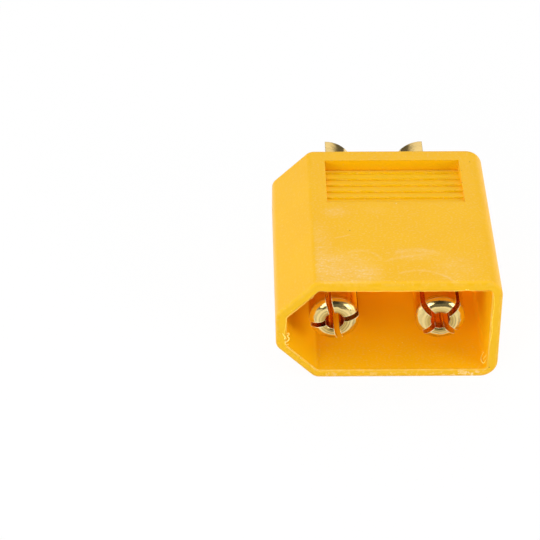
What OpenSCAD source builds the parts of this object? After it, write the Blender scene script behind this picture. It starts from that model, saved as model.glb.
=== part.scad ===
// High-current battery connector, the shrouded half with two split pins.
// Sizes are in millimetres. X runs across the contacts, Y from the rim back to the solder cups, Z up.
// The origin is under the middle of the part, on the surface that it lies on.

/* [Housing] */
// Outer width across the two narrow sides
housing_w = 15.6; // [14.5:0.1:20]
// Outer height across the two broad faces
housing_h = 8.2; // [7.2:0.1:11]
// Length from the rim to the rear face
housing_len = 16.9; // [16:0.1:24]
// Wall of the shroud at the two narrow sides
side_wall = 0.75; // [0.5:0.05:1.2]
// Wall of the shroud at the two broad faces
face_wall = 0.7; // [0.5:0.05:1.2]
// Wall of the shroud at the two polarising chamfers
chamfer_wall = 0.62; // [0.5:0.05:1.2]
// Leg of the polarising chamfers, which run along the negative side
chamfer = 2.75; // [1.8:0.1:3.2]
// Rounding where a chamfer meets the flats beside it
chamfer_round = 0.8; // [0.4:0.1:1.4]
// Radius of the two long corners on the positive side
corner_r = 1.25; // [0.5:0.05:2]
// Radius of the corners inside the shroud
cavity_corner_r = 0.3; // [0.1:0.05:0.8]
// Depth of the cavity from the rim to its floor
cavity_depth = 9.4; // [8:0.1:10]
// Rounding of the outer edge at the rim
rim_round = 0.3; // [0.1:0.05:0.4]
// Chamfer round the inner edge at the rim
mouth_chamfer = 0.1; // [0.05:0.01:0.2]
// Rounding of the outer edge at the rear face
rear_round = 0.25; // [0.1:0.05:0.5]

/* [Grips] */
// Width of the sunk grip on each broad face
grip_w = 9.9; // [6:0.1:11]
// Shift of the grips from the middle towards the positive side
grip_shift = 1; // [0:0.1:1.5]
// Length of a grip along the housing
grip_len = 5.5; // [4.8:0.1:6]
// Distance from the rear face to the end wall of a grip
grip_rear = 1.4; // [0.8:0.05:2]
// Depth of a grip at its end wall
grip_depth = 0.9; // [0.5:0.05:1.2]
// Depth left where the ramp runs out at the front
grip_front_depth = 0.12; // [0.05:0.01:0.3]
// Number of saw teeth on the ramp
grip_teeth = 5; // [3:1:5]
// Distance from one tooth to the next
tooth_pitch = 1.02; // [0.8:0.01:1.1]
// Distance from the end wall to the first crest
first_tooth = 0.62; // [0.4:0.05:0.8]
// Height of the step in front of each crest
tooth_h = 0.15; // [0.05:0.01:0.25]

/* [Pins] */
// Distance between the axes of the two contacts
contact_pitch = 7.4; // [6.6:0.1:9]
// Outer diameter of a pin
pin_d = 3.5; // [3.2:0.1:4.2]
// Distance from the rim back to the pin tips
pin_recess = 1.15; // [0.5:0.1:2.5]
// Diameter of the hole down the middle of a pin
pin_hole_d = 1.35; // [1:0.1:1.7]
// Width of the saw cuts that split a pin into four fingers
slit_w = 0.4; // [0.2:0.05:0.6]
// Length of the saw cuts from the tip, which run on into the root land by their own width
slit_len = 7.6; // [4:0.1:8]
// Step from a pin out to the root land behind it, which fits the partition
root_step = 0.2; // [0.1:0.05:0.3]
// Distance that the hole runs on past the saw cuts
hole_runout = 0.5; // [0.2:0.1:1]
// Width of the rounded crown, from the pin's flank in to its crest
crown_w = 0.8; // [0.4:0.05:0.9]
// Length of the crown along the pin
crown_len = 0.45; // [0.2:0.05:0.8]
// Drop of the rounded lip from the crest to the hole
lip_drop = 0.1; // [0.04:0.01:0.2]
// Turn of the saw cuts on the negative contact, anticlockwise from the rim
negative_slit_turn = 15; // [0:5:90]
// Turn of the saw cuts on the positive contact, anticlockwise from the rim
positive_slit_turn = 45; // [0:5:90]

/* [Contact bodies] */
// Thickness of the partition between the cavity and the contact bores
partition = 2.4; // [1.5:0.1:3]
// Step from the root land out to the body behind it, which seats on the partition
shoulder = 0.2; // [0.1:0.05:0.4]
// Gap all round between a contact and the housing
contact_clearance = 0.02; // [0.01:0.01:0.05]
// Distance from the shoulder to the start of the retaining barb
barb_start = 1.4; // [0.8:0.1:1.8]
// Length of the retaining barb
barb_len = 0.8; // [0.4:0.1:1]
// Height of the retaining barb
barb_h = 0.12; // [0.05:0.01:0.2]
// Lead-in chamfer at the rear mouth of each bore
lead_in = 0.2; // [0.1:0.05:0.4]

/* [Solder cups] */
// Length of the full round collar behind the rear face
collar_len = 1.3; // [0.8:0.05:2]
// Length of the half cup behind the collar
cup_len = 3.1; // [2:0.05:5]
// Wall of a solder cup
cup_wall = 0.65; // [0.4:0.05:0.9]
// Depth of the solder well inside the collar
well_depth = 0.8; // [0.3:0.1:1.2]
// Width of the turned line round the end of the collar
line_w = 0.15; // [0.1:0.05:0.3]
// Depth of the turned line
line_depth = 0.06; // [0.02:0.01:0.15]
// Chamfer round the end of a cup
cup_chamfer = 0.12; // [0.05:0.01:0.25]

/* [Hidden] */
$fn = 96;

// How far a cutting shape runs past the surface that it cuts
overcut = 0.5;
// Largest turn between two points of a rounded corner, in degrees
corner_step = 7.5;
// Turn between two slices of a rounded outer edge, in degrees
edge_step = 22.5;
// Thickness of such a slice
slice_t = 0.01;
// Points along each arc of a pin's tip
tip_steps = 8;
// Point angle of the drill that makes the blind holes
drill_angle = 118;

overall_len = housing_len + collar_len + cup_len;
cavity_chamfer = chamfer + chamfer_wall * sqrt(2) - side_wall - face_wall;

pin_r = pin_d / 2;
hole_r = pin_hole_d / 2;
crest_r = pin_r - crown_w;
root_r = pin_r + root_step;
body_r = root_r + shoulder;
well_r = body_r - cup_wall;

// Places along a contact, from its tip
root_at = slit_len - slit_w;
floor_at = cavity_depth - pin_recess;
shoulder_at = floor_at + partition;
barb_at = shoulder_at + barb_start;
rear_at = housing_len - pin_recess;
cup_at = rear_at + collar_len;
end_at = cup_at + cup_len;

// Rounded corner of an outline that runs anticlockwise; a corner is [x, z, radius]
function corner_arc(before, here, after) =
    let (
        corner = [here.x, here.y],
        radius = here.z,
        back = [before.x, before.y] - corner,
        on = [after.x, after.y] - corner,
        a = back / norm(back),
        b = on / norm(on),
        half = acos(a * b) / 2,
        centre = corner + (a + b) / norm(a + b) * radius / sin(half),
        start = corner + a * radius / tan(half) - centre,
        turn = 180 - 2 * half,
        steps = ceil(turn / corner_step)
    )
    [for (k = [0 : steps])
        let (angle = atan2(start.y, start.x) + turn * k / steps)
        centre + radius * [cos(angle), sin(angle)]];

function rounded(corners) =
    let (n = len(corners))
    [for (i = [0 : n - 1])
        each corner_arc(corners[(i + n - 1) % n], corners[i], corners[(i + 1) % n])];

// Section across the housing, set in from its sides and its broad faces
function section(side, face, leg, square_r, chamfer_r) =
    let (
        left = -housing_w / 2 + side,
        right = housing_w / 2 - side,
        top = housing_h - face
    )
    rounded([
        [left + leg, face, chamfer_r],
        [right, face, square_r],
        [right, top, square_r],
        [left + leg, top, chamfer_r],
        [left, top - leg, chamfer_r],
        [left, face + leg, chamfer_r]
    ]);

outer_section = section(0, 0, chamfer, corner_r, chamfer_round);
cavity_section = section(side_wall, face_wall, cavity_chamfer, cavity_corner_r, cavity_corner_r);

// Arc that starts level at a crest and falls by a drop over a width
function fall(width, drop) =
    let (
        radius = (width ^ 2 + drop ^ 2) / (2 * drop),
        turn = 2 * atan(drop / width)
    )
    [for (k = [0 : tip_steps])
        let (angle = turn * k / tip_steps)
        [radius * sin(angle), radius * (1 - cos(angle))]];

function drill_point(radius) = radius / tan(drill_angle / 2);

// Turned profile of a contact as [radius, distance from the tip]
function contact_profile() =
    let (
        lip = fall(crest_r - hole_r, lip_drop),
        crown = fall(crown_w, crown_len),
        hole_at = slit_len + hole_runout,
        well_at = cup_at - well_depth
    )
    concat(
        [for (k = [tip_steps : -1 : 0]) [crest_r - lip[k].x, lip[k].y]],
        [for (k = [1 : tip_steps]) [crest_r + crown[k].x, crown[k].y]],
        [
            [pin_r, root_at],
            [root_r, root_at + root_step],
            [root_r, shoulder_at],
            [body_r, shoulder_at],
            [body_r, barb_at],
            [body_r + barb_h, barb_at + barb_len],
            [body_r, barb_at + barb_len],
            [body_r, cup_at - line_w],
            [body_r - line_depth, cup_at - line_w],
            [body_r - line_depth, cup_at],
            [body_r, cup_at],
            [body_r, end_at - cup_chamfer],
            [body_r - cup_chamfer, end_at],
            [well_r, end_at],
            [well_r, well_at],
            [0, well_at - drill_point(well_r)],
            [0, hole_at + drill_point(hole_r)],
            [hole_r, hole_at]
        ]
    );

// Profile of the bore that takes a contact, from the cavity floor out through the rear face
function bore_profile() =
    let (
        root_bore = root_r + contact_clearance,
        body_bore = body_r + contact_clearance,
        barb_end = barb_at + barb_len
    )
    [
        [0, floor_at - overcut],
        [root_bore, floor_at - overcut],
        [root_bore, shoulder_at],
        [body_bore, shoulder_at],
        [body_bore, barb_at],
        [body_bore + barb_h, barb_end],
        [body_bore + barb_h, barb_end + contact_clearance],
        [body_bore, barb_end + contact_clearance],
        [body_bore, rear_at - lead_in],
        [body_bore + lead_in + overcut, rear_at + overcut],
        [0, rear_at + overcut]
    ];

// Ramp of a grip as [y, z], cut down from the upper broad face
function grip_profile() =
    let (
        end_wall = housing_len - grip_rear,
        crest_depth = grip_depth - tooth_h
    )
    concat(
        [
            [end_wall - grip_len, housing_h + overcut],
            [end_wall, housing_h + overcut],
            [end_wall, housing_h - grip_depth]
        ],
        [for (k = [0 : grip_teeth - 1])
            let (
                s = first_tooth + k * tooth_pitch,
                crest = housing_h - crest_depth * (1 - s / grip_len)
            )
            each [[end_wall - s, crest], [end_wall - s, crest - tooth_h]]],
        [[end_wall - grip_len, housing_h - grip_front_depth]]
    );

// Moves a shape from the rim's plane so that the origin is under the middle of the part
module centred() {
    translate([0, -overall_len / 2, 0])
        children();
}

// Extrudes an outline in X and Z along Y
module along_y(from, to) {
    translate([0, to, 0])
        rotate([90, 0, 0])
            linear_extrude(to - from)
                children();
}

// Sets a shape that runs along Z from a contact's tip on that contact's axis
module on_contact_axis(side) {
    translate([side * contact_pitch / 2, pin_recess, housing_h / 2])
        rotate([-90, 0, 0])
            children();
}

// Stretch of the housing between an end face and its flats, with the outer edge rounded over
module rounded_end(radius) {
    hull() {
        for (a = [0 : edge_step : 90]) {
            y = (radius - slice_t) * (1 - sin(a));
            along_y(y, y + slice_t)
                offset(delta = -radius * (1 - cos(a)))
                    polygon(outer_section);
        }
    }
}

module housing_block() {
    along_y(rim_round, housing_len - rear_round)
        polygon(outer_section);
    rounded_end(rim_round);
    translate([0, housing_len, 0])
        mirror([0, 1, 0])
            rounded_end(rear_round);
}

module grip_cut() {
    translate([grip_shift - grip_w / 2, 0, 0])
        rotate([90, 0, 90])
            linear_extrude(grip_w)
                polygon(grip_profile());
}

// Space inside the shroud, with a chamfer round its mouth
module cavity_cut() {
    along_y(-overcut, cavity_depth)
        polygon(cavity_section);
    hull() {
        along_y(-overcut - slice_t, -overcut)
            offset(delta = mouth_chamfer + overcut)
                polygon(cavity_section);
        along_y(mouth_chamfer - slice_t, mouth_chamfer)
            polygon(cavity_section);
    }
}

module contact_bore(side) {
    on_contact_axis(side)
        rotate_extrude()
            polygon(bore_profile());
}

module housing() {
    color("orange")
        centred()
            difference() {
                housing_block();
                cavity_cut();
                grip_cut();
                translate([0, 0, housing_h])
                    mirror([0, 0, 1])
                        grip_cut();
                contact_bore(-1);
                contact_bore(1);
            }
}

// Two crossed saw cuts in the tip of a pin, turned as they are seen from the rim
module saw_cuts(turn) {
    for (quarter = [0, 90]) {
        rotate([0, 0, quarter - turn])
            translate([-pin_r - overcut, -slit_w / 2, -overcut])
                cube([pin_d + 2 * overcut, slit_w, slit_len + overcut]);
    }
}

// Takes away the outer half of a solder cup, so that it opens to its own side of the part
module cup_opening(side) {
    reach = body_r + overcut;
    rotate([0, 0, side > 0 ? 0 : 180])
        translate([0, -reach, cup_at])
            cube([reach, 2 * reach, cup_len + overcut]);
}

module contact(side, slit_turn) {
    color("gold")
        centred()
            on_contact_axis(side)
                difference() {
                    rotate_extrude()
                        polygon(contact_profile());
                    saw_cuts(slit_turn);
                    cup_opening(side);
                }
}

module negative_contact() {
    contact(-1, negative_slit_turn);
}

module positive_contact() {
    contact(1, positive_slit_turn);
}

housing();
negative_contact();
positive_contact();
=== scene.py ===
import math
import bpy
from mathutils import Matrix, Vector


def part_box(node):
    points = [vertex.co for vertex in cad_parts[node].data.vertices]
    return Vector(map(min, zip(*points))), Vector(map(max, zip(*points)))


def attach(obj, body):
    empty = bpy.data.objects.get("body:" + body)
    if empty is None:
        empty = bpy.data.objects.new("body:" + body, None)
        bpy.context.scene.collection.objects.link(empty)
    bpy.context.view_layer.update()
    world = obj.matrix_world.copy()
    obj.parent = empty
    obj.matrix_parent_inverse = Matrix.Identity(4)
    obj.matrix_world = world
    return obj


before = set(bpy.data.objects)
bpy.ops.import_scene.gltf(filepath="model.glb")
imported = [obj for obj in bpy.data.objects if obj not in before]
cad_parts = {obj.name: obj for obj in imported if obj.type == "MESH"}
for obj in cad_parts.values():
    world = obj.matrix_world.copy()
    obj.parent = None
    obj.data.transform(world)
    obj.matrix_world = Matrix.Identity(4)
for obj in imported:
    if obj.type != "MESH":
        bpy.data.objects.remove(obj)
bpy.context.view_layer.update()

from types import SimpleNamespace

import bpy
from mathutils import Quaternion, Vector

# Looks of the shrouded half of a battery connector, in metres and in the frame of its solids.
# X runs across the contacts, Y from the rim back to the solder cups, Z up.
MM = 0.001
MM_PER_M = 1000

# Sizes of the solids, in millimetres
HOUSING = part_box("housing")
RIM_Y = HOUSING[0].y / MM
REAR_Y = HOUSING[1].y / MM
TOP_Z = HOUSING[1].z / MM
MIDDLE_Z = TOP_Z / 2
SIDE_X = HOUSING[1].x / MM
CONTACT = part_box("positive_contact")
CONTACT_X = (CONTACT[0].x + CONTACT[1].x) / 2 / MM
CONTACT_Z = (CONTACT[0].z + CONTACT[1].z) / 2 / MM
TIP_Y = CONTACT[0].y / MM
CAVITY_DEPTH = 9.4
CAVITY_BACK_Y = RIM_Y + CAVITY_DEPTH
CAVITY_X, CAVITY_LOW_Z, CAVITY_CORNER = 7.05, 0.7, 0.3
GRIP_X, GRIP_W, GRIP_LEN, GRIP_DEPTH = 1.0, 9.9, 5.5, 0.9
GRIP_TO_REAR = 1.4
GRIP_END_Y = REAR_Y - GRIP_TO_REAR
GRIP_START_Y = GRIP_END_Y - GRIP_LEN
FIRST_TOOTH, TOOTH_PITCH = 0.62, 1.02
# Planes within the shroud's walls and its chamfers, at which the colour of the cavity ends
WALL_INSET = 0.45
WALL_OUT = SIDE_X - WALL_INSET
WALL_UP = MIDDLE_Z - WALL_INSET
WALL_SLANT = 8.8

# Linear colours
NYLON = (0.866, 0.466, 0.0005, 1)
NYLON_DRIFT = (0.854, 0.450, 0.0005, 1)
# Front faces darker: painted shade against the strong light from the front
NYLON_FRONT_PAINTED_SHADE = (0.577, 0.318, 0.0005, 1)
# Inside the shroud paler: painted light that lifts the cavity's shade
NYLON_INSIDE_PAINTED_LIGHT = (0.999, 0.560, 0.0005, 1)
# Paler still low on the cavity's right wall: painted light
NYLON_WALL_PAINTED_LIGHT = (0.985, 0.612, 0.0005, 1)
# Grips' treads paler: painted light in the sunk grip
NYLON_TREAD_PAINTED_LIGHT = (0.960, 0.524, 0.0005, 1)
# A little darker at each tread's foot: painted shade under the riser
NYLON_TREAD_FOOT_PAINTED_SHADE = (0.950, 0.505, 0.0005, 1)
# Grips' risers darker than the top: painted shade, as on the rim
NYLON_RISER_PAINTED_SHADE = (0.692, 0.432, 0.0005, 1)
# Paler in the grip's deepest corner and on its ledge: painted light
NYLON_CORNER_PAINTED_LIGHT = (0.999, 0.800, 0.0100, 1)
# Grips' end wall darker: painted shade, as on the rim
NYLON_END_WALL_PAINTED_SHADE = (0.638, 0.338, 0.0005, 1)
# Darker still at the end wall's foot: painted shade in the corner
NYLON_WALL_FOOT_PAINTED_SHADE = (0.692, 0.310, 0.0005, 1)
# Darker on the cavity's fillet and towards its mouth: painted shade
NYLON_FILLET_PAINTED_SHADE = (0.950, 0.515, 0.0005, 1)
# Pale scuff colour, also used for painted light on the grips' ledge and a painted highlight round the mouth
NYLON_SCUFF_AND_PAINTED_LIGHT = (0.90, 0.82, 0.66, 1)
SHAVING = (0.99, 0.88, 0.24, 1)
SHAVING_THIN = (0.99, 0.80, 0.14, 1)
CRUMB = (0.90, 0.64, 0.17, 1)
CRUMB_THIN = (0.86, 0.55, 0.09, 1)
# Burr strands along the mouth's edges, pale also as a painted highlight line there
BURR_AND_HIGHLIGHT = (0.88, 0.58, 0.06, 1)
BURR_AND_HIGHLIGHT_THIN = (0.82, 0.50, 0.03, 1)
DIRT = (0.10, 0.045, 0.006, 1)
DIRT_DRY = (0.22, 0.11, 0.02, 1)
GOLD = (0.96, 0.68, 0.25, 1)
GOLD_WORN = (0.92, 0.60, 0.20, 1)
# Tips' faces darker than the flanks: painted shade that dims their reflection
GOLD_TIP_PAINTED_SHADE = (0.84, 0.64, 0.26, 1)
# Painted highlight along the edges of the pins' tips
GOLD_PAINTED_HIGHLIGHT = (0.99, 0.94, 0.52, 1)
# Darker round each bore: painted shade
GOLD_BORE_PAINTED_SHADE = (0.56, 0.38, 0.11, 1)
GOLD_GROOVE = (0.34, 0.25, 0.09, 1)
FLOOR_WHITE = (0.93, 0.93, 0.93, 1)
WHITE = (1, 1, 1, 1)
LENS_DARK = (0.05, 0.05, 0.05, 1)
ZENITH = (1.08, 1.08, 1.08, 1)

# Noise patterns: scale per millimetre, detail and, where it has one, distortion
DRIFT_NOISE = (0.35, 3.0)
GRAIN_NOISE = (5.5, 2.0)
SKIN_NOISE = (1.1, 2.0)
STREAK_NOISE = (1.3, 6.0, 1.0)
ARC_NOISE = (3.0, 4.0)
PATCH_NOISE = (2.2, 5.0)
KNOCK_NOISE = (3.4, 4.0, 0.4)
UNEVEN_NOISE = (1.6, 3.0)
RING_NOISE = (0.8, 2.0)
WORN_NOISE = (2.4, 5.0, 0.6)
BIT_NOISE = (8.0, 3.0)
FLOOR_NOISE = (0.05, 2.0)
# Ranges of a noise over which its mask comes out
DRIFT_RANGE = (0.3, 0.7)
SPECKLE_RANGE = (0.45, 0.85)
STREAK_RANGE = (0.36, 0.70)
ARC_RANGE = (0.30, 0.60)
PATCH_RANGE = (0.42, 0.66)
KNOCK_RANGE = (0.52, 0.66)
FLECKED_RANGE = (0.46, 0.56)
RING_RANGE = (0.38, 0.62)
WORN_RANGE = (0.50, 0.72)
EDGE_HIGHLIGHT_RANGE = (0.35, 0.6)
BIT_RANGE = (0.35, 0.65)
# Parts of the normal over which a face counts as turned that way
FRONT_FACING = (-0.2, -0.75)
RIM_FACING = (-0.05, -0.98)
LEFT_FACING = (-0.5, -0.9)
LEANING_LEFT = (-0.2, -0.5)
LEANING_UP = (0.2, 0.5)
# Bands over which masks fade in, in millimetres
WALL_BAND_Z = (7.0, 3.5)
FLOOR_BAND_Z = (1.0, 0.8)
MOUTH_BAND_Y = (-5.5, -10.0)
MOUTH_HAZE_BAND_Y = (-4.5, -8.5)
LOW_RIM_BAND_Z = (0.75, 0.45)
DRAGGED_LEFT_X = (3.6, 4.8)
DRAGGED_RIGHT_X = (6.7, 6.1)
LEDGE_BAND = (0.45, 0.2)
END_WALL_FOOT_BAND = (0.5, 0.0)
TIP_BAND = (1.0, 0.6)
BORE_BAND = (1.2, 0.8)


# Node helpers
def add(tree, kind, inputs=None, **settings):
    """Adds a node, with its settings, and sets or links its inputs by name or number."""
    node = tree.nodes.new(kind)
    for name, value in settings.items():
        setattr(node, name, value)
    for name, value in (inputs or {}).items():
        if isinstance(value, bpy.types.NodeSocket):
            tree.links.new(value, node.inputs[name])
        else:
            node.inputs[name].default_value = value
    return node


def calc(tree, operation, *values):
    return add(tree, "ShaderNodeMath", dict(enumerate(values)), operation=operation).outputs[0]


def product(tree, first, *others):
    """Multiplies masks with each other."""
    for other in others:
        first = calc(tree, "MULTIPLY", first, other)
    return first


def weigh(tree, mask, weight, base):
    """Adds a weighted mask to a base."""
    return calc(tree, "MULTIPLY_ADD", mask, weight, base)


def flip(tree, mask):
    """Swaps the 0 and the 1 of a mask."""
    return calc(tree, "SUBTRACT", 1.0, mask)


def length(tree, x, y):
    """Length of the way that goes x along one axis and y along another."""
    square = calc(tree, "ADD", calc(tree, "POWER", x, 2.0), calc(tree, "POWER", y, 2.0))
    return calc(tree, "SQRT", square)


def vector(tree, operation, *values):
    return add(tree, "ShaderNodeVectorMath", dict(enumerate(values)), operation=operation)


def split(tree, value):
    """X, Y and Z of a vector."""
    return add(tree, "ShaderNodeSeparateXYZ", {0: value}).outputs


def ramp(tree, value, start, end, low=0.0, high=1.0):
    """Smooth step from low to high while the value goes from start to end."""
    inputs = {"Value": value, "From Min": start, "From Max": end, "To Min": low, "To Max": high}
    return add(tree, "ShaderNodeMapRange", inputs, interpolation_type="SMOOTHSTEP").outputs["Result"]


def mix(tree, factor, a, b):
    """Mixes two colours."""
    node = add(tree, "ShaderNodeMix", {0: factor, 6: a, 7: b}, data_type="RGBA")
    return node.outputs[2]


def noise(tree, place, scale, detail, distortion=0.0):
    inputs = {"Vector": place, "Scale": scale, "Detail": detail, "Distortion": distortion}
    return add(tree, "ShaderNodeTexNoise", inputs).outputs["Fac"]


def blob(tree, place, centre, size):
    """Soft round patch in the XY plane, 1 over its middle."""
    core = 0.75
    inputs = {"Vector": place, "Location": (-centre[0] / size[0], -centre[1] / size[1], 0)}
    inputs["Scale"] = (1 / size[0], 1 / size[1], 0)
    mapped = add(tree, "ShaderNodeMapping", inputs).outputs[0]
    ball = add(tree, "ShaderNodeTexGradient", {"Vector": mapped}, gradient_type="SPHERICAL")
    return ramp(tree, ball.outputs["Fac"], 0.0, core)


def millimetres(tree):
    """Place on the part, in millimetres of the shared frame."""
    place = add(tree, "ShaderNodeTexCoord").outputs["Object"]
    scaled = add(tree, "ShaderNodeVectorMath", {0: place, "Scale": MM_PER_M}, operation="SCALE")
    return scaled.outputs[0]


def new_material(name):
    material = bpy.data.materials.new(name)
    material.use_nodes = True
    tree = material.node_tree
    tree.nodes.clear()
    return material, tree


def surface(tree, inputs):
    """Ends a material with a principled shader."""
    shader = add(tree, "ShaderNodeBsdfPrincipled", inputs)
    add(tree, "ShaderNodeOutputMaterial", {"Surface": shader.outputs[0]})


# Rubbed arcs on the upper face: centre, radius, half width, start and end angle, strength
ARCS = (
    ((2.0, -11.9), 2.78, 0.18, 0.42, 2.15, 0.70),
    ((2.0, -10.2), 3.52, 0.32, 1.00, 2.05, 0.40),
    ((3.6, -16.0), 8.87, 0.20, 1.60, 2.05, 0.50),
    ((-1.9, -8.2), 1.50, 0.20, 0.10, 2.35, 0.45),
    ((-6.5, 6.0), 11.50, 0.10, -1.34, -1.19, 0.75),
    ((4.6, -2.0), 6.40, 0.07, -1.75, -1.45, 0.30),
    ((9.5, -6.5), 4.60, 0.06, 2.85, 3.14, 0.30),
    ((0.6, 3.5), 5.85, 0.07, -1.42, -1.18, 0.35),
)
# Hazed patches on the upper face: centre, half size, strength
HAZE = (
    ((-3.3, -9.1), (3.5, 3.2), 0.85),
    ((-1.5, -9.5), (1.4, 1.3), 0.45),
    ((-5.0, -6.0), (1.6, 4.2), 0.45),
    ((1.9, -7.2), (2.4, 1.2), 0.42),
    ((-3.4, -1.9), (1.3, 0.9), 0.60),
    ((-0.5, -1.7), (1.0, 0.6), 0.25),
    ((4.6, -8.8), (2.2, 2.4), 0.34),
)
# Hazed patch on the cavity's floor: centre, half size
MOUTH_HAZE = ((5.4, -9.6), (2.2, 1.6))
# Deepest mix of the pale scuff colour for each kind of wear, for a paler tint on the grips' treads, for
# painted light on their ledge, and for wear with a painted highlight round the mouth
GRAIN_MIX, HAZE_MIX, ARC_MIX, FLECK_MIX = 0.12, 0.28, 0.18, 0.18
MOUTH_WEAR_AND_HIGHLIGHT_MIX, EDGE_MIX, LOW_RIM_MIX, MOUTH_HAZE_MIX = 0.10, 0.04, 0.36, 0.085
TREAD_MIX, LEDGE_PAINTED_LIGHT_MIX = 0.01, 0.10
# What is lost of the grain in sheltered places
INSIDE_LOSS, FRONT_LOSS, SUNK_LOSS, END_WALL_LOSS = -0.65, -0.85, -0.10, -0.50
# Roughness and shine of smooth nylon, and what its grain, its wear and each place add
NYLON_ROUGH, GRAIN_ROUGH, SCUFF_ROUGH = 0.36, 0.12, 0.60
NYLON_SHINE, RIM_SHINE, TREAD_SHINE, FOOT_SHINE = 0.33, -0.08, -0.06, -0.14
NYLON_IOR = 1.5


# Nylon of the housing
def survey(tree):
    """Place, facing and grain of a point on the housing, from which the nylon's masks are made."""
    spot = SimpleNamespace(place=millimetres(tree))
    spot.at = split(tree, spot.place)
    spot.out = calc(tree, "ABSOLUTE", spot.at["X"])
    spot.up = calc(tree, "ABSOLUTE", calc(tree, "SUBTRACT", spot.at["Z"], MIDDLE_Z))
    spot.slant = calc(tree, "SUBTRACT", spot.up, spot.at["X"])
    spot.faces = split(tree, add(tree, "ShaderNodeNewGeometry").outputs["Normal"])
    spot.front = ramp(tree, spot.faces["Y"], *FRONT_FACING)
    spot.rim_side = ramp(tree, spot.faces["Y"], *RIM_FACING)
    spot.drift = noise(tree, spot.place, *DRIFT_NOISE)
    spot.grain = noise(tree, spot.place, *GRAIN_NOISE)
    spot.speckle = ramp(tree, spot.grain, *SPECKLE_RANGE)
    return spot


def mark_shroud(tree, spot):
    """Masks of the shroud's section within its walls and of the cavity's faces."""
    fade, slant_fade = 0.15, 0.2
    spot.section = product(
        tree,
        ramp(tree, spot.out, WALL_OUT, WALL_OUT - fade),
        ramp(tree, spot.up, WALL_UP, WALL_UP - fade),
        ramp(tree, spot.slant, WALL_SLANT, WALL_SLANT - slant_fade),
    )
    spot.inside = product(
        tree,
        spot.section,
        ramp(tree, spot.at["Y"], RIM_Y + 0.02, RIM_Y + 0.3),
        ramp(tree, spot.at["Y"], CAVITY_BACK_Y + 0.35, CAVITY_BACK_Y + 0.15),
    )


def mark_grips(tree, spot):
    """Masks of the sunk grips, of their end wall and of their teeth's treads with foot and ledge."""
    y = spot.at["Y"]
    aside = calc(tree, "ABSOLUTE", calc(tree, "SUBTRACT", spot.at["X"], GRIP_X))
    spot.sunk = product(
        tree,
        ramp(tree, spot.up, MIDDLE_Z - 0.02, MIDDLE_Z - 0.06),
        ramp(tree, aside, GRIP_W / 2 + 0.1, GRIP_W / 2 + 0.05),
        ramp(tree, y, GRIP_START_Y - 0.1, GRIP_START_Y - 0.05),
    )
    at_end = ramp(tree, y, GRIP_END_Y - 0.15, GRIP_END_Y - 0.1)
    spot.end_wall = product(tree, spot.sunk, spot.front, at_end)
    spot.steps = product(tree, spot.sunk, ramp(tree, y, GRIP_END_Y - 0.01, GRIP_END_Y - 0.03))
    spot.tread = product(tree, spot.steps, flip(tree, spot.front))

    # The ledge is the tread in the corner under the end wall, and the foot is the low part of the others
    behind = calc(tree, "SUBTRACT", y, GRIP_END_Y)
    below = calc(tree, "SUBTRACT", spot.up, MIDDLE_Z - GRIP_DEPTH)
    spot.from_corner = length(tree, behind, below)
    spot.ledge = product(tree, spot.tread, ramp(tree, spot.from_corner, *LEDGE_BAND))
    from_first = calc(tree, "SUBTRACT", GRIP_END_Y - FIRST_TOOTH, y)
    along_tooth = calc(tree, "FRACT", calc(tree, "DIVIDE", from_first, TOOTH_PITCH))
    low_part = ramp(tree, along_tooth, 0.85, 0.1)
    spot.foot = product(tree, spot.tread, low_part, flip(tree, spot.ledge))


def cavity_painted_light(tree, spot):
    """Paler than the rest as painted light that lifts the cavity's shade, paler still low on the right wall
    as painted light, and darker on the fillet at that wall's foot and towards the mouth as painted shade.
    """
    x_face, z_face = spot.faces["X"], spot.faces["Z"]
    upright = product(tree, ramp(tree, x_face, *LEFT_FACING), ramp(tree, spot.at["Z"], *WALL_BAND_Z))
    leaning = product(tree, ramp(tree, x_face, *LEANING_LEFT), ramp(tree, z_face, *LEANING_UP))
    # Painted light on the cavity and its right wall, painted shade on the fillet at that wall's foot
    colour = mix(tree, leaning, mix(tree, upright, NYLON_INSIDE_PAINTED_LIGHT, NYLON_WALL_PAINTED_LIGHT), NYLON_FILLET_PAINTED_SHADE)
    # Painted shade towards the mouth
    mouth_share = 0.4
    to_mouth = ramp(tree, spot.at["Y"], *MOUTH_BAND_Y, high=mouth_share)
    return mix(tree, to_mouth, colour, NYLON_FILLET_PAINTED_SHADE)


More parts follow.
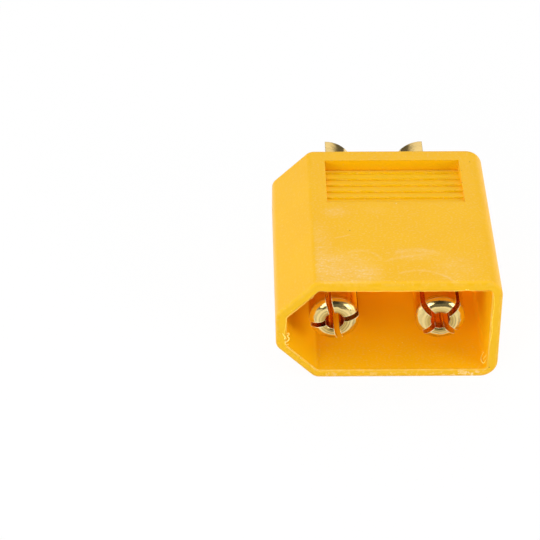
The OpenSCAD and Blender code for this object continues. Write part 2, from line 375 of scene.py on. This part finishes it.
def nylon_colour_with_painted_light(tree, spot):
    """Drifts slowly; darker on the rim and other front faces, as painted shade against the strong light from
    the front; paler on the grips' treads, ledge and deepest corner as painted light, with painted shade on
    their risers, end wall and feet; the cavity's painted light inside the shroud.
    """
    colour = mix(tree, ramp(tree, spot.drift, *DRIFT_RANGE), NYLON, NYLON_DRIFT)
    # Painted shade on the rim and other front faces
    colour = mix(tree, spot.rim_side, colour, NYLON_FRONT_PAINTED_SHADE)
    # Treads paler as painted light, risers darker as painted shade
    colour = mix(tree, spot.steps, colour, mix(tree, spot.front, NYLON_TREAD_PAINTED_LIGHT, NYLON_RISER_PAINTED_SHADE))
    # Painted shade at each tread's foot, under the riser behind it
    colour = mix(tree, spot.foot, colour, NYLON_TREAD_FOOT_PAINTED_SHADE)
    # Painted light towards the grip's deepest corner and on its ledge
    deep_share = 0.25
    deep = ramp(tree, spot.at["Y"], GRIP_END_Y - 2.2, GRIP_END_Y - 0.7)
    deep = product(tree, spot.tread, deep, deep_share)
    colour = mix(tree, deep, colour, NYLON_CORNER_PAINTED_LIGHT)
    colour = mix(tree, spot.ledge, colour, NYLON_CORNER_PAINTED_LIGHT)
    # End wall darker, and darker still at its foot: painted shade
    end_wall = mix(tree, ramp(tree, spot.from_corner, *END_WALL_FOOT_BAND), NYLON_END_WALL_PAINTED_SHADE, NYLON_WALL_FOOT_PAINTED_SHADE)
    colour = mix(tree, spot.end_wall, colour, end_wall)
    # Inside the shroud, the cavity's painted light and shade
    return mix(tree, spot.inside, colour, cavity_painted_light(tree, spot))


def arc_group():
    """Node group: thin rubbed arc in the XY plane, from its centre, radius, half width and two angles."""
    group = bpy.data.node_groups.new("rubbed_arc", "ShaderNodeTree")
    sockets = (("Vector", "Vector"), ("Centre", "Vector"), ("Radius", "Float"), ("Width", "Float"))
    sockets += (("Start", "Float"), ("End", "Float"))
    for name, kind in sockets:
        group.interface.new_socket(name, in_out="INPUT", socket_type="NodeSocket" + kind)
    group.interface.new_socket("Mask", in_out="OUTPUT", socket_type="NodeSocketFloat")
    given = group.nodes.new("NodeGroupInput").outputs
    offset = vector(group, "SUBTRACT", given["Vector"], given["Centre"]).outputs[0]
    flat = vector(group, "MULTIPLY", offset, (1, 1, 0)).outputs[0]
    away = vector(group, "LENGTH", flat).outputs["Value"]
    apart = calc(group, "ABSOLUTE", calc(group, "SUBTRACT", away, given["Radius"]))
    band = ramp(group, apart, given["Width"], 0.0)
    parts = split(group, flat)
    angle = calc(group, "ARCTAN2", parts["Y"], parts["X"])
    along = calc(group, "MULTIPLY", calc(group, "SUBTRACT", angle, given["Start"]), given["Radius"])
    left = calc(group, "MULTIPLY", calc(group, "SUBTRACT", given["End"], angle), given["Radius"])
    fade = 0.5
    mask = product(group, band, ramp(group, along, 0.0, fade), ramp(group, left, 0.0, fade))
    add(group, "NodeGroupOutput", {"Mask": mask})
    return group


def upper_haze(tree, spot):
    """Mask of the hazed patches on the upper face, drawn out into streaks."""
    streak_turn, streak_scale = (0, 0, 0.35), (0.9, 3.2, 1.0)
    faintest, strongest = 0.35, 1.15
    speckled, even = 0.9, 0.55
    inputs = {"Vector": spot.place, "Rotation": streak_turn, "Scale": streak_scale}
    streaked = add(tree, "ShaderNodeMapping", inputs).outputs[0]
    streaks = ramp(tree, noise(tree, streaked, *STREAK_NOISE), *STREAK_RANGE, faintest, strongest)
    haze = 0.0
    for centre, size, strength in HAZE:
        haze = weigh(tree, blob(tree, spot.place, centre, size), strength, haze)
    return product(tree, haze, streaks, weigh(tree, spot.speckle, speckled, even))


def upper_arcs(tree, spot):
    """Mask of the rubbed arcs on the upper face, broken here and there."""
    group = arc_group()
    arcs = 0.0
    for centre, radius, width, start, end, strength in ARCS:
        arc = add(tree, "ShaderNodeGroup", node_tree=group)
        tree.links.new(spot.place, arc.inputs["Vector"])
        arc.inputs["Centre"].default_value = (*centre, 0)
        for name, value in (("Radius", radius), ("Width", width), ("Start", start), ("End", end)):
            arc.inputs[name].default_value = value
        arcs = weigh(tree, arc.outputs["Mask"], strength, arcs)
    faintest = 0.35
    broken = ramp(tree, noise(tree, spot.place, *ARC_NOISE), *ARC_RANGE, low=faintest)
    return product(tree, arcs, broken)


def upper_wear(tree, spot):
    """Share of scuff colour from haze and rubbed arcs on the upper face."""
    arcs = calc(tree, "MULTIPLY", upper_arcs(tree, spot), ARC_MIX)
    rubbed = weigh(tree, upper_haze(tree, spot), HAZE_MIX, arcs)
    return product(tree, rubbed, ramp(tree, spot.at["Z"], TOP_Z - 0.12, TOP_Z - 0.02))


def rim_wear(tree, spot):
    """Masks of wear along the rim's edges, of wear and a painted highlight round the mouth of the shroud,
    and of wear low on the rim.
    """
    x, y, z = spot.at["X"], spot.at["Y"], spot.at["Z"]
    varied, even = 0.7, 0.3
    patchy = ramp(tree, noise(tree, spot.place, *PATCH_NOISE), *PATCH_RANGE)
    near_rim = ramp(tree, y, RIM_Y + 0.30, RIM_Y + 0.05)
    edge = ramp(tree, spot.out, SIDE_X - 0.35, SIDE_X - 0.1)
    edge = calc(tree, "MAXIMUM", edge, ramp(tree, spot.up, MIDDLE_Z - 0.35, MIDDLE_Z - 0.1))
    edge = calc(tree, "MAXIMUM", edge, ramp(tree, spot.slant, WALL_SLANT, WALL_SLANT + 0.25))
    edge = product(tree, edge, near_rim, patchy)

    # Round the mouth: wear and a painted highlight line along the edge
    past_rim = ramp(tree, y, RIM_Y + 0.002, RIM_Y + 0.02)
    mouth = product(tree, spot.section, past_rim, ramp(tree, y, RIM_Y + 0.17, RIM_Y + 0.10))
    mouth = product(tree, mouth, weigh(tree, patchy, varied, even))

    knocks = ramp(tree, noise(tree, spot.place, *KNOCK_NOISE), *KNOCK_RANGE)
    dragged = product(tree, ramp(tree, x, *DRAGGED_LEFT_X), ramp(tree, x, *DRAGGED_RIGHT_X))
    dragged = weigh(tree, dragged, varied, even)
    low_rim = product(tree, ramp(tree, z, *LOW_RIM_BAND_Z), near_rim, knocks, dragged)
    return edge, mouth, low_rim


def mouth_haze(tree, spot):
    """Mask of the haze on the cavity's floor, towards its mouth."""
    mouth_share = 0.9
    to_mouth = ramp(tree, spot.at["Y"], *MOUTH_HAZE_BAND_Y, high=mouth_share)
    haze = calc(tree, "MAXIMUM", blob(tree, spot.place, *MOUTH_HAZE), to_mouth)
    low = ramp(tree, spot.at["Z"], *FLOOR_BAND_Z)
    return product(tree, haze, spot.inside, low, spot.speckle)


def grain_flecks(tree, spot):
    """Mask of small bright flecks in the grain."""
    per_mm, outer, inner = 2.6, 0.11, 0.05
    cells = add(tree, "ShaderNodeTexVoronoi", {"Vector": spot.place, "Scale": per_mm})
    flecks = ramp(tree, cells.outputs["Distance"], outer, inner)
    return product(tree, flecks, ramp(tree, spot.drift, *FLECKED_RANGE))


def scuffs_and_painted_light(tree, spot):
    """Share of scuff colour from the grain and from all wear, with a paler tint on the treads, painted light
    on the ledge and a painted highlight round the mouth.
    """
    flush_front = product(tree, spot.front, flip(tree, spot.steps))
    losses = ((spot.inside, INSIDE_LOSS), (flush_front, FRONT_LOSS), (spot.sunk, SUNK_LOSS))
    open_air = weigh(tree, spot.end_wall, END_WALL_LOSS, 1.0)
    for mask, loss in losses:
        open_air = product(tree, open_air, weigh(tree, mask, loss, 1.0))
    pale = product(tree, spot.speckle, open_air, GRAIN_MIX)

    pale = weigh(tree, mouth_haze(tree, spot), MOUTH_HAZE_MIX, pale)
    pale = weigh(tree, spot.tread, TREAD_MIX, pale)
    # Painted light on the grips' ledge
    pale = weigh(tree, spot.ledge, LEDGE_PAINTED_LIGHT_MIX, pale)
    pale = calc(tree, "ADD", pale, upper_wear(tree, spot))
    edge, mouth, low_rim = rim_wear(tree, spot)
    # Wear and a painted highlight round the mouth
    pale = weigh(tree, mouth, MOUTH_WEAR_AND_HIGHLIGHT_MIX, pale)
    pale = weigh(tree, edge, EDGE_MIX, pale)
    pale = weigh(tree, low_rim, LOW_RIM_MIX, pale)
    return weigh(tree, grain_flecks(tree, spot), FLECK_MIX, pale)


def nylon():
    material, tree = new_material("moulded_nylon")
    spot = survey(tree)
    mark_shroud(tree, spot)
    mark_grips(tree, spot)
    pale = scuffs_and_painted_light(tree, spot)
    # Pale share of scuffs and of painted light over the nylon's colour
    colour = mix(tree, pale, nylon_colour_with_painted_light(tree, spot), NYLON_SCUFF_AND_PAINTED_LIGHT)
    rough = weigh(tree, spot.grain, GRAIN_ROUGH, NYLON_ROUGH)
    rough = weigh(tree, pale, SCUFF_ROUGH, rough)
    shine = weigh(tree, spot.rim_side, RIM_SHINE, NYLON_SHINE)
    shine = weigh(tree, spot.tread, TREAD_SHINE, shine)
    shine = weigh(tree, spot.foot, FOOT_SHINE, shine)

    skin_share, sunk_loss, skin_depth = 0.7, -0.95, 0.018 * MM
    skin = weigh(tree, noise(tree, spot.place, *SKIN_NOISE), skin_share, spot.grain)
    skin = product(tree, skin, weigh(tree, spot.sunk, sunk_loss, 1.0))
    bump = add(tree, "ShaderNodeBump", {"Strength": 0.6, "Distance": skin_depth, "Height": skin})
    inputs = {"Base Color": colour, "Roughness": rough, "Normal": bump.outputs[0]}
    inputs["IOR"] = NYLON_IOR
    inputs["Specular IOR Level"] = shine
    surface(tree, inputs)
    return material


# Gold plate of the contacts
def turning_rings(tree, place, y, radius, tip, uneven):
    """Mask of rings round each contact's axis that follow the tool along flanks and faces."""
    pitch, wander, on_flank, faintest = 0.2, 6.0, 0.1, 0.3
    travel = calc(tree, "SUBTRACT", radius, y)
    turns = weigh(tree, uneven, wander, calc(tree, "MULTIPLY", travel, math.tau / pitch))
    grooves = ramp(tree, calc(tree, "SINE", turns), -0.3, 0.9)
    marked = weigh(tree, tip, 1 - on_flank, on_flank)
    broken = ramp(tree, noise(tree, place, *RING_NOISE), *RING_RANGE, low=faintest)
    return product(tree, grooves, marked, broken)


def painted_edge_highlights(tree, tip, uneven):
    """Mask of the painted highlight along the edges of the pins' tips, where a wide bevel bends the normal.
    """
    bevel, faintest = 0.1 * MM, 0.35
    flat = add(tree, "ShaderNodeNewGeometry").outputs["Normal"]
    wide = add(tree, "ShaderNodeBevel", {"Radius": bevel}, samples=6).outputs["Normal"]
    bent = vector(tree, "DOT_PRODUCT", wide, flat).outputs["Value"]
    broken = ramp(tree, uneven, *EDGE_HIGHLIGHT_RANGE, low=faintest)
    return product(tree, ramp(tree, bent, 0.995, 0.92), tip, broken)


def gold():
    material, tree = new_material("turned_gold_plate")
    place = millimetres(tree)
    at = split(tree, place)
    across = calc(tree, "SUBTRACT", calc(tree, "ABSOLUTE", at["X"]), CONTACT_X)
    above = calc(tree, "SUBTRACT", at["Z"], CONTACT_Z)
    radius = length(tree, across, above)
    uneven = noise(tree, place, *UNEVEN_NOISE)
    tip = ramp(tree, at["Y"], TIP_Y + TIP_BAND[0], TIP_Y + TIP_BAND[1])
    near_bore = product(tree, tip, ramp(tree, radius, *BORE_BAND))
    rings = turning_rings(tree, place, at["Y"], radius, tip, uneven)
    worn = ramp(tree, noise(tree, place, *WORN_NOISE), *WORN_RANGE)
    # Painted highlight along the tips' edges
    rubbed = painted_edge_highlights(tree, tip, uneven)

    worn_mix, ring_mix = 0.5, 0.65
    colour = mix(tree, calc(tree, "MULTIPLY", worn, worn_mix), GOLD, GOLD_WORN)
    # Painted shade on the tips' faces, deeper round the bores
    colour = mix(tree, tip, colour, mix(tree, near_bore, GOLD_TIP_PAINTED_SHADE, GOLD_BORE_PAINTED_SHADE))
    colour = mix(tree, calc(tree, "MULTIPLY", rings, ring_mix), colour, GOLD_GROOVE)
    # Painted highlight on the tips' edges
    colour = mix(tree, rubbed, colour, GOLD_PAINTED_HIGHLIGHT)
    smoothest, uneven_rough, worn_rough, highlight_metal_loss = 0.07, 0.08, 0.06, -0.6
    rough = weigh(tree, uneven, uneven_rough, smoothest)
    rough = weigh(tree, worn, worn_rough, rough)
    # The painted highlight is less metallic
    metal = weigh(tree, rubbed, highlight_metal_loss, 1.0)

    ring_depth, relief_depth, edge_radius = -0.5, 0.025 * MM, 0.06 * MM
    relief = {"Strength": 0.8, "Distance": relief_depth}
    relief["Height"] = weigh(tree, rings, ring_depth, uneven)
    relief["Normal"] = add(tree, "ShaderNodeBevel", {"Radius": edge_radius}, samples=6).outputs["Normal"]
    bump = add(tree, "ShaderNodeBump", relief)
    inputs = {"Base Color": colour, "Metallic": metal, "Roughness": rough, "Normal": bump.outputs[0]}
    surface(tree, inputs)
    return material


# Other materials
def loose_bits(name, first, second, roughness):
    """Matt stuff of a crumb or a speck, mottled between two colours."""
    mottle_rough, mottle_depth = 0.2, 0.01 * MM
    material, tree = new_material(name)
    mottle = noise(tree, millimetres(tree), *BIT_NOISE)
    colour = mix(tree, ramp(tree, mottle, *BIT_RANGE), first, second)
    rough = weigh(tree, mottle, mottle_rough, roughness)
    bump = add(tree, "ShaderNodeBump", {"Strength": 0.5, "Distance": mottle_depth, "Height": mottle})
    surface(tree, {"Base Color": colour, "Roughness": rough, "Normal": bump.outputs[0]})
    return material


def floor_white():
    """Pale floor that shows white to the camera and in reflections, and keeps the part's shadow."""
    mottle_mix, glow_share = 0.1, 0.94
    material, tree = new_material("pale_floor")
    mottle = noise(tree, millimetres(tree), *FLOOR_NOISE)
    tint = mix(tree, calc(tree, "MULTIPLY", mottle, mottle_mix), FLOOR_WHITE, WHITE)
    matt = add(tree, "ShaderNodeBsdfDiffuse", {"Color": tint})
    glow = add(tree, "ShaderNodeEmission", {"Color": WHITE, "Strength": 1.0})
    path = add(tree, "ShaderNodeLightPath").outputs
    seen = calc(tree, "MAXIMUM", path["Is Camera Ray"], path["Is Glossy Ray"])
    seen = calc(tree, "MAXIMUM", seen, path["Is Transmission Ray"])
    share = calc(tree, "MULTIPLY", seen, glow_share)
    both = add(tree, "ShaderNodeMixShader", {0: share, 1: matt.outputs[0], 2: glow.outputs[0]})
    add(tree, "ShaderNodeOutputMaterial", {"Surface": both.outputs[0]})
    return material


# Modifiers that smooth the solids' shading without moving a corner
def soft_normals_group():
    """Geometry nodes: joins the split corners and shades smooth below an edge angle."""
    reach, sharp_angle = 0.0005 * MM, math.radians(30)
    group = bpy.data.node_groups.new("soft_normals", "GeometryNodeTree")
    group.interface.new_socket("Geometry", in_out="INPUT", socket_type="NodeSocketGeometry")
    group.interface.new_socket("Geometry", in_out="OUTPUT", socket_type="NodeSocketGeometry")
    given = group.nodes.new("NodeGroupInput").outputs[0]
    joined = add(group, "GeometryNodeMergeByDistance", {"Geometry": given, "Distance": reach})
    angle = add(group, "GeometryNodeInputMeshEdgeAngle").outputs["Unsigned Angle"]
    sharp = add(group, "FunctionNodeCompare", {0: angle, 1: sharp_angle}, operation="GREATER_THAN")
    shade = add(group, "GeometryNodeSetMeshNormal", mode="SHARPNESS")
    group.links.new(joined.outputs[0], shade.inputs["Mesh"])
    shade.inputs["Remove Custom"].default_value = True
    group.links.new(sharp.outputs[0], shade.inputs["Edge Sharpness"])
    add(group, "NodeGroupOutput", {0: shade.outputs[0]})
    return group


def dress(node, material, group):
    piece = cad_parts[node]
    piece.data.materials.clear()
    piece.data.materials.append(material)
    soften = piece.modifiers.new("soft_normals", "NODES")
    soften.node_group = group
    weighted = piece.modifiers.new("flat_faces_stay_flat", "WEIGHTED_NORMAL")
    weighted.keep_sharp = True
    weighted.weight = 100


shading = soft_normals_group()
contact_gold = gold()
dress("housing", nylon(), shading)
dress("negative_contact", contact_gold, shading)
dress("positive_contact", contact_gold, shading)


# Small loose bits that lie on the housing
RING_SIDES = 10
AHEAD = Vector((0, -1, 0))
UP = Vector((0, 0, 1))
INTO_CAVITY = Vector((-1, 0, 1)).normalized()
MATT, DUSTY = 0.4, 0.6


def put(name, data):
    """Makes an object in the scene."""
    item = bpy.data.objects.new(name, data)
    bpy.context.scene.collection.objects.link(item)
    return item


def add_piece(name, corners, faces, material):
    """Makes a smooth mesh from corners in millimetres, as a bit that rides on the part."""
    mesh = bpy.data.meshes.new(name)
    mesh.from_pydata([corner * MM for corner in corners], [], faces)
    mesh.shade_smooth()
    mesh.materials.append(material)
    piece = put(name, mesh)
    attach(piece, "root")


def closed_tube(first, rings):
    """Faces round and at both ends of a stack of rings of corners, from the corner with the given number."""
    faces = []
    last = first + (rings - 1) * RING_SIDES
    for low in range(first, last, RING_SIDES):
        high = low + RING_SIDES
        for j in range(RING_SIDES):
            k = (j + 1) % RING_SIDES
            faces.append((low + j, low + k, high + k, high + j))
    faces.append(tuple(range(first, first + RING_SIDES))[::-1])
    faces.append(tuple(range(last, last + RING_SIDES)))
    return faces


def lumpy(first, second):
    """Thickness round 1, from two waves at the given angles."""
    return 1 + 0.22 * math.sin(first) + 0.12 * math.sin(second)


def on_spline(path, share):
    """Place and direction on a smooth curve through the points; the share counts the points passed."""
    n = min(int(share), len(path) - 2)
    t = share - n
    a, b, c, d = path[max(n - 1, 0)], path[n], path[n + 1], path[min(n + 2, len(path) - 1)]
    second = 2 * a - 5 * b + 4 * c - d
    third = 3 * b - a - 3 * c + d
    here = b + ((c - a) * t + second * t ** 2 + third * t ** 3) / 2
    ahead = (c - a) / 2 + second * t + third * 1.5 * t ** 2
    return here, ahead


def strand(name, points, radius, facing, material):
    """Thin curl through the points, in a plane with the given normal, tapered at both ends."""
    steps_per_point, flatness, blunt_end = 12, 0.6, 0.05
    path = [Vector(point) for point in points]
    count = steps_per_point * (len(path) - 1)
    corners = []
    for i in range(count + 1):
        here, ahead = on_spline(path, i / count * (len(path) - 1))
        side = ahead.cross(facing).normalized()
        taper = math.sqrt(math.sin(math.pi * (blunt_end + (1 - 2 * blunt_end) * i / count)))
        thick = radius * taper * lumpy(0.9 * i, 2.3 * i)
        for j in range(RING_SIDES):
            turn = math.tau * j / RING_SIDES
            spoke = side * math.cos(turn) + facing * flatness * math.sin(turn)
            corners.append(here + spoke * thick)
    add_piece(name, corners, closed_tube(0, count + 1), material)


def crumbs(name, spots, material):
    """Flat crumbs that sit on faces; a spot is its place, the way out of its face and its radius."""
    narrowness = 0.7
    # Height and reach of each ring, as shares of the radius
    rings = ((-0.10, 1.0), (0.15, 0.95), (0.32, 0.6))
    corners, faces = [], []
    for n, (place, out, radius) in enumerate(spots):
        across = out.orthogonal().normalized()
        along = out.cross(across)
        faces += closed_tube(len(corners), len(rings))
        for height, reach in rings:
            for j in range(RING_SIDES):
                turn = math.tau * j / RING_SIDES
                ragged = lumpy(3 * turn + 1.7 * n, 5 * turn + n)
                spoke = across * math.cos(turn) + along * narrowness * math.sin(turn)
                corners.append(Vector(place) + (spoke * (reach * ragged) + out * height) * radius)
    add_piece(name, corners, faces, material)


# Places on the rim as X and Z
# The burrs also stand as a painted highlight line along the mouth's edges
LEFT_BURR_AND_HIGHLIGHT = (
    (-5.2, 7.2), (-5.7, 6.7), (-6.45, 5.95), (-7.05, 5.35), (-7.1, 5.1), (-7.15, 4.55), (-7.25, 3.85),
)
UPPER_BURR_AND_HIGHLIGHT = (
    (-4.6, 7.55), (-2.0, 7.55), (1.0, 7.55), (4.45, 7.55), (5.15, 7.6), (5.3, 7.65), (5.45, 7.6),
    (5.65, 7.55), (6.25, 7.55), (6.75, 7.5),
)
RIGHT_BURR_AND_HIGHLIGHT = (
    (7.1, 7.35), (7.2, 6.65), (7.2, 5.7), (7.15, 4.85), (7.2, 4.25), (7.2, 3.8), (7.1, 2.8), (7.1, 2.25),
)
RIM_CURL = (
    (-7.05, 3.95), (-6.95, 4.0), (-6.9, 3.9), (-7.0, 3.75), (-6.9, 3.6), (-6.9, 3.45), (-7.0, 3.3),
    (-7.15, 3.25), (-7.15, 3.15), (-7.1, 3.0), (-6.95, 3.05), (-6.9, 3.05),
)
RIM_TAIL = ((-7.35, 4.0), (-7.25, 3.8), (-7.15, 3.65), (-7.2, 3.5), (-7.05, 3.55))
# Places in the cavity as the way up from the floor into its corner, and Y
HOOK = (
    (0.3, -8.8), (0.1, -9.0), (0.0, -9.35), (0.0, -9.65), (0.05, -9.85), (0.15, -9.95), (0.3, -9.85),
    (0.7, -10.15),
)
HOOK_MIDDLE = ((1.1, -10.05), (0.7, -9.7), (0.25, -9.4), (0.15, -9.55))
# Places with a radius, on the rim as X and Z, on the upper face and the cavity's floor as X and Y
RIM_CRUMBS = (
    (-5.35, 7.0, 0.05), (-6.05, 1.8, 0.05), (0.3, 0.45, 0.04), (5.2, 7.65, 0.06), (5.35, 7.65, 0.05),
)
RIM_SPECKS = ((7.2, 0.9, 0.055),)
FLOOR_CRUMBS = (
    (1.3, -7.5, 0.04), (1.0, -7.8, 0.03), (3.0, -7.4, 0.035), (-1.1, -8.4, 0.035), (-2.8, -7.0, 0.03),
)
TOP_CRUMBS = ((1.0, -0.85, 0.085), (-1.35, -4.35, 0.05), (4.6, -10.3, 0.06), (0.35, -10.45, 0.05))
TOP_SPECKS = (
    (6.75, 4.6, 0.04), (6.05, 3.45, 0.03), (5.95, 1.85, 0.03), (5.35, 0.85, 0.03), (5.95, 0.75, 0.03),
    (-2.5, -4.25, 0.04),
)
BURR_AND_HIGHLIGHT_RADIUS, BURR_AND_HIGHLIGHT_PROUD, CURL_RADIUS = 0.024, 0.005, 0.036
HOOK_RADIUS, HOOK_MIDDLE_RADIUS = 0.05, 0.045


def up_the_corner(way, y):
    """Place on the cavity's rounded right corner and the wall above it."""
    turn = min(way / CAVITY_CORNER, math.pi / 2)
    x = CAVITY_X - CAVITY_CORNER * (1 - math.sin(turn))
    z = CAVITY_LOW_Z + CAVITY_CORNER * (1 - math.cos(turn)) + way - CAVITY_CORNER * turn
    return x, y, z


def along_rim(places, proud=0.0):
    return [(x, RIM_Y - proud, z) for x, z in places]


def on_rim(spots):
    return [((x, RIM_Y, z), AHEAD, radius) for x, z, radius in spots]


def lying(spots, z):
    return [((x, y, z), UP, radius) for x, y, radius in spots]


shaving = loose_bits("nylon_shaving", SHAVING, SHAVING_THIN, MATT)
crumb = loose_bits("nylon_crumb", CRUMB, CRUMB_THIN, MATT)
dirt = loose_bits("dark_speck", DIRT, DIRT_DRY, DUSTY)
burr_and_highlight = loose_bits("nylon_burr_and_highlight", BURR_AND_HIGHLIGHT, BURR_AND_HIGHLIGHT_THIN, MATT)
# Burrs along the mouth's edges, also a painted highlight line there
for name, edge in (("left_burr_and_highlight", LEFT_BURR_AND_HIGHLIGHT), ("upper_burr_and_highlight", UPPER_BURR_AND_HIGHLIGHT), ("right_burr_and_highlight", RIGHT_BURR_AND_HIGHLIGHT)):
    strand(name, along_rim(edge, BURR_AND_HIGHLIGHT_PROUD), BURR_AND_HIGHLIGHT_RADIUS, AHEAD, burr_and_highlight)
strand("rim_curl", along_rim(RIM_CURL), CURL_RADIUS, AHEAD, crumb)
strand("rim_tail", along_rim(RIM_TAIL), CURL_RADIUS, AHEAD, crumb)
hook = [up_the_corner(*spot) for spot in HOOK]
strand("cavity_hook", hook, HOOK_RADIUS, INTO_CAVITY, shaving)
hook_middle = [up_the_corner(*spot) for spot in HOOK_MIDDLE]
strand("cavity_hook_middle", hook_middle, HOOK_MIDDLE_RADIUS, INTO_CAVITY, shaving)
crumbs("pale_crumbs", on_rim(RIM_CRUMBS) + lying(TOP_CRUMBS, TOP_Z), crumb)
crumbs("floor_crumbs", lying(FLOOR_CRUMBS, CAVITY_LOW_Z), shaving)
crumbs("dark_specks", on_rim(RIM_SPECKS) + lying(TOP_SPECKS, TOP_Z), dirt)


# Stage: floor, world, softboxes and the camera of the photograph
# Softboxes: name, azimuth and elevation in degrees, size in metres, radiance, seen in mirrors
SOFTBOXES = (
    ("left_softbox", -32, 24, 0.15, 3.0, True),
    ("right_softbox", 46, 16, 0.15, 3.0, True),
    ("front_softbox", -2, 24, 0.14, 5.9, False),
    ("key_softbox", -25, 12, 0.15, 7.1, False),
    ("rear_softbox", 180, 14, 0.15, 5.0, False),
    ("left_fill", -40, 19, 0.15, 2.5, False),
    ("right_fill", 52, 14, 0.15, 5.8, False),
)
SOFTBOX_DISTANCE = 0.4


def make_floor():
    half = 1.5
    mesh = bpy.data.meshes.new("floor")
    corners = [(-half, -half, 0), (half, -half, 0), (half, half, 0), (-half, half, 0)]
    mesh.from_pydata(corners, [], [(0, 1, 2, 3)])
    mesh.materials.append(floor_white())
    floor = put("floor", mesh)


def heading(azimuth, elevation):
    """Direction from the part, with azimuth 0 towards the rim's side and elevation above the floor."""
    a, e = math.radians(azimuth), math.radians(elevation)
    return Vector((math.sin(a) * math.cos(e), -math.cos(a) * math.cos(e), math.sin(e)))


def make_world():
    """Light tent: bright sides and foot, dark at the foot behind and where the camera stands."""
    world = bpy.data.worlds.new("light_tent")
    bpy.context.scene.world = world
    world.use_nodes = True
    tree = world.node_tree
    tree.nodes.clear()
    way = add(tree, "ShaderNodeTexCoord").outputs["Generated"]
    parts = split(tree, way)
    behind = calc(tree, "DIVIDE", parts["Y"], length(tree, parts["X"], parts["Y"]))

    def round_about(front, side, back):
        """Light level that changes with the azimuth."""
        ahead = ramp(tree, behind, -0.7, -0.3, front, side)
        return calc(tree, "ADD", ahead, ramp(tree, behind, 0.3, 0.7, 0.0, back - side))

    def above(start, end):
        """Goes over from one elevation to the other, in degrees."""
        return ramp(tree, parts["Z"], math.sin(math.radians(start)), math.sin(math.radians(end)))

    foot = round_about(front=0.2, side=1.6, back=0.12)
    wall = round_about(front=0.15, side=0.75, back=0.97)
    level = mix(tree, above(16, 34), foot, wall)
    level = mix(tree, above(50, 70), level, ZENITH)
    camera_way = tuple(heading(-2, 39))
    dark_from, dark_to = math.cos(math.radians(22)), math.cos(math.radians(16))
    facing = vector(tree, "DOT_PRODUCT", way, camera_way).outputs["Value"]
    level = mix(tree, ramp(tree, facing, dark_from, dark_to), level, LENS_DARK)
    light = add(tree, "ShaderNodeBackground", {"Color": level, "Strength": 1.0})
    add(tree, "ShaderNodeOutputWorld", {"Surface": light.outputs[0]})


def make_softbox(name, azimuth, elevation, size, radiance, mirrored):
    """Square soft light that faces the part; its power follows from how bright its face is."""
    lamp = bpy.data.lights.new(name, "AREA")
    lamp.shape = "SQUARE"
    lamp.size = size
    lamp.energy = radiance * math.pi * size ** 2
    softbox = put(name, lamp)
    way = heading(azimuth, elevation)
    softbox.visible_glossy = mirrored
    softbox.location = way * SOFTBOX_DISTANCE
    softbox.rotation_mode = "QUATERNION"
    softbox.rotation_quaternion = way.to_track_quat("Z", "Y")


def make_camera():
    """Camera that was fitted to the rim, the grip and the rear edge in the photograph."""
    yaw, pitch, roll = math.radians(1.120), math.radians(35.608), math.radians(0.358)
    place = Vector((-10.687, -135.857, 99.080)) * MM
    focal_px, frame_px, sensor = 2267.536, 540, 36
    lens = bpy.data.cameras.new("camera")
    lens.sensor_width = sensor
    lens.lens = focal_px * sensor / frame_px
    lens.clip_start = 0.001
    camera = put("camera", lens)
    ahead = Vector((math.sin(yaw) * math.cos(pitch), math.cos(yaw) * math.cos(pitch), -math.sin(pitch)))
    camera.location = place
    camera.rotation_mode = "QUATERNION"
    camera.rotation_quaternion = ahead.to_track_quat("-Z", "Y") @ Quaternion((0, 0, 1), roll)
    bpy.context.scene.camera = camera


make_floor()
make_world()
for softbox in SOFTBOXES:
    make_softbox(*softbox)
make_camera()
scene = bpy.context.scene
scene.view_settings.view_transform = "Standard"
# The shroud's inside is lit by light that goes to and fro between its walls
scene.cycles.max_bounces = 32
scene.cycles.diffuse_bounces = 24
scene.cycles.glossy_bounces = 8
